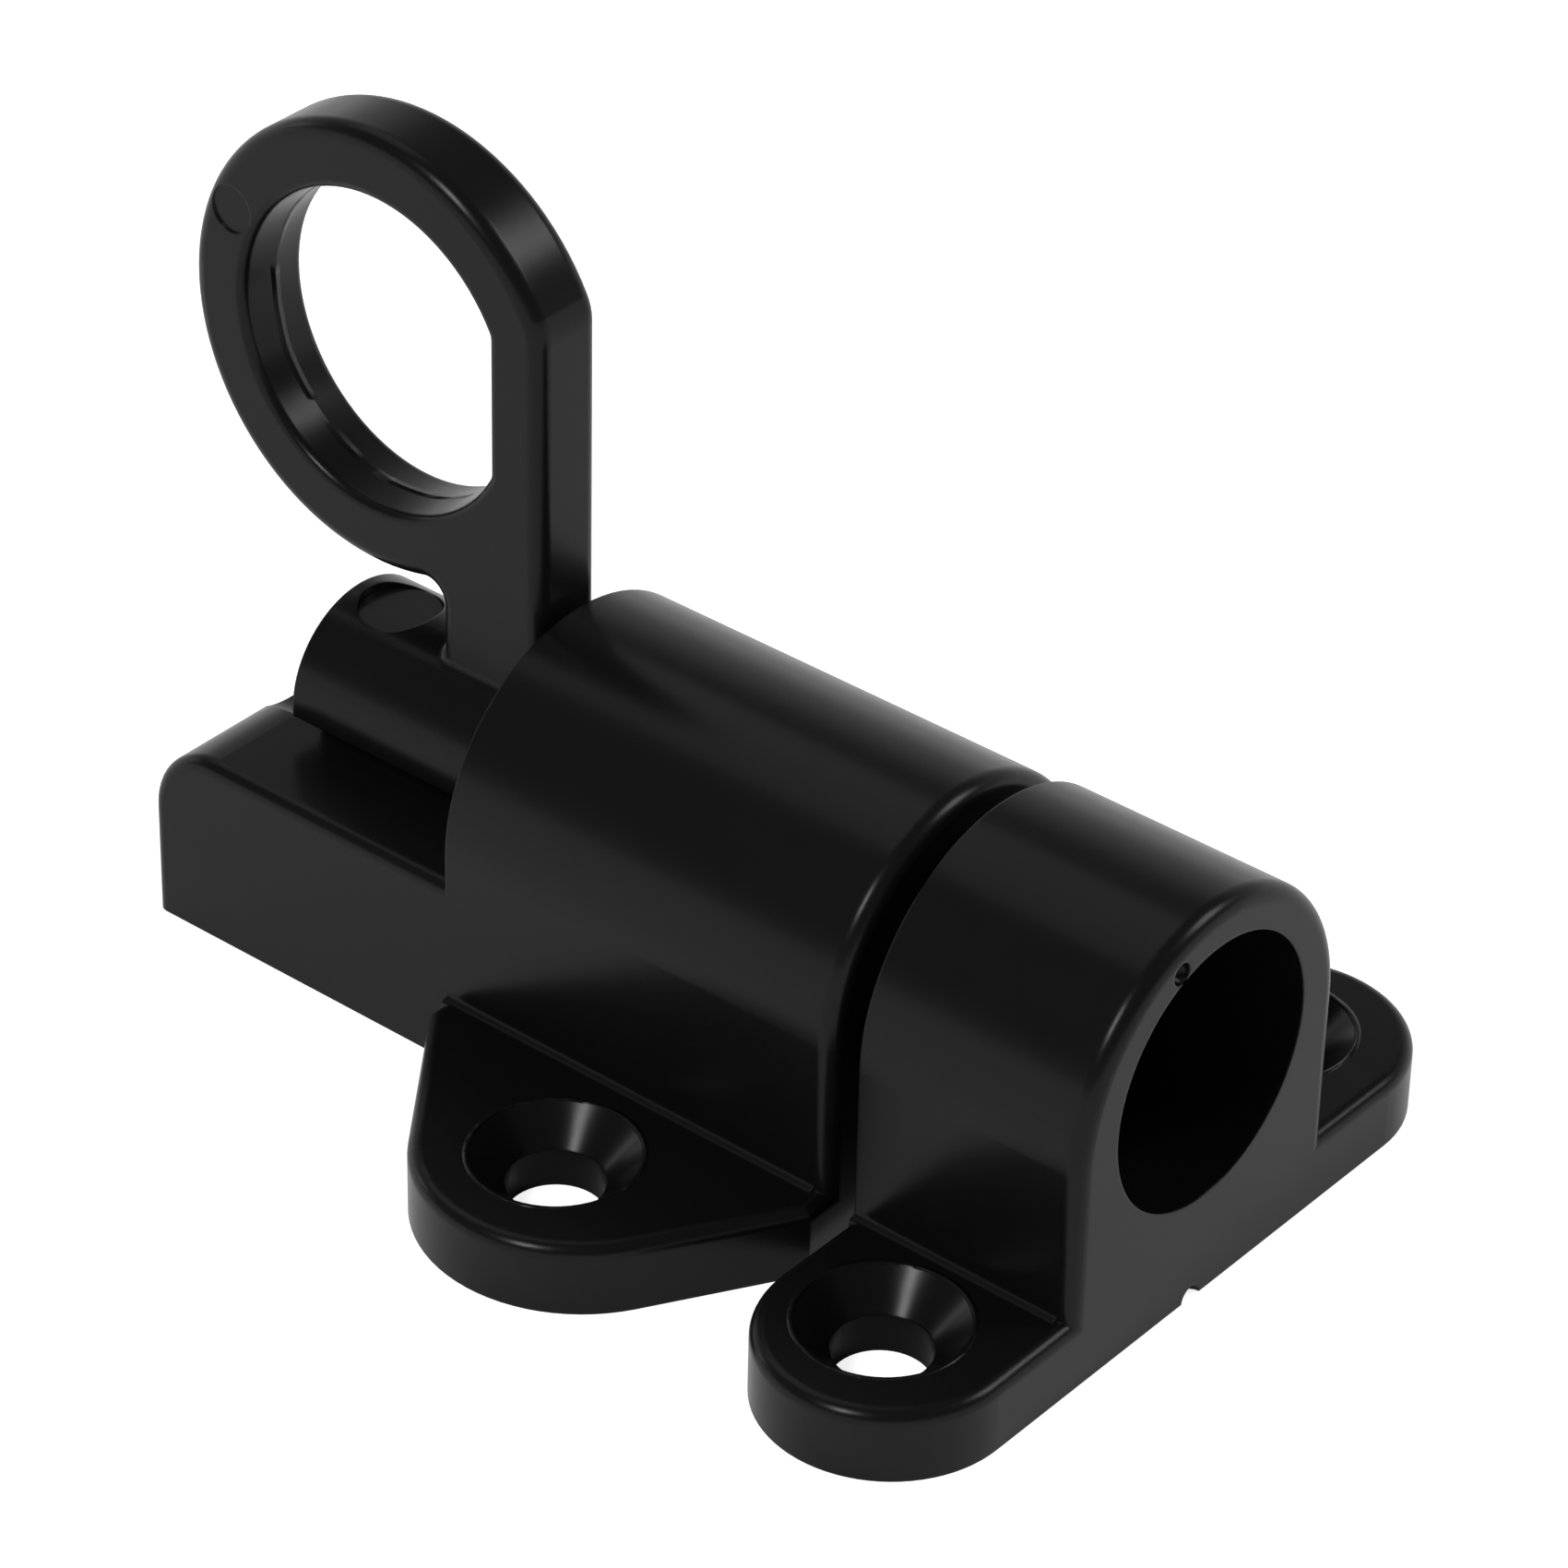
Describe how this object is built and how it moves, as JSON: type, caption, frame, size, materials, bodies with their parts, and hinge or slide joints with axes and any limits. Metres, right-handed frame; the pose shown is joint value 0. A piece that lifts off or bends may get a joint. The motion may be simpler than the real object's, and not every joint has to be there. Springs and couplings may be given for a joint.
{
  "type": "spring bolt",
  "caption": "Surface-mounted spring bolt: a pull ring draws a round sprung bolt through an arched barrel, out of a separate keeper with a round bore; flat ears take countersunk screws",
  "frame": {"origin": "midway between the body's two screw holes, on the mounting face", "axes": "+X along the bolt from the barrel towards the keeper, +Y across the ears, +Z away from the mounting face"},
  "size_m": [0.0635, 0.0456, 0.0453],
  "materials": {
    "black_coat": "semi-gloss black powder coat",
    "black_bar": "satin black",
    "spring_steel": "drawn wire"
  },
  "bodies": {
    "housing": {"body_casting": "black_coat", "keeper_casting": "black_coat", "spring": "spring_steel"},
    "plunger": {"bolt": "black_bar", "pull_ring": "black_coat", "cross_pin": "black_bar"}
  },
  "joints": [
    {"name": "bolt_pull", "type": "slide", "parent": "housing", "child": "plunger", "axis": [-1, 0, 0], "range_m": [0, 0.0075], "stiffness_N_per_m": 2200, "springref_m": -0.0025, "deforming": ["spring"]}
  ]
}
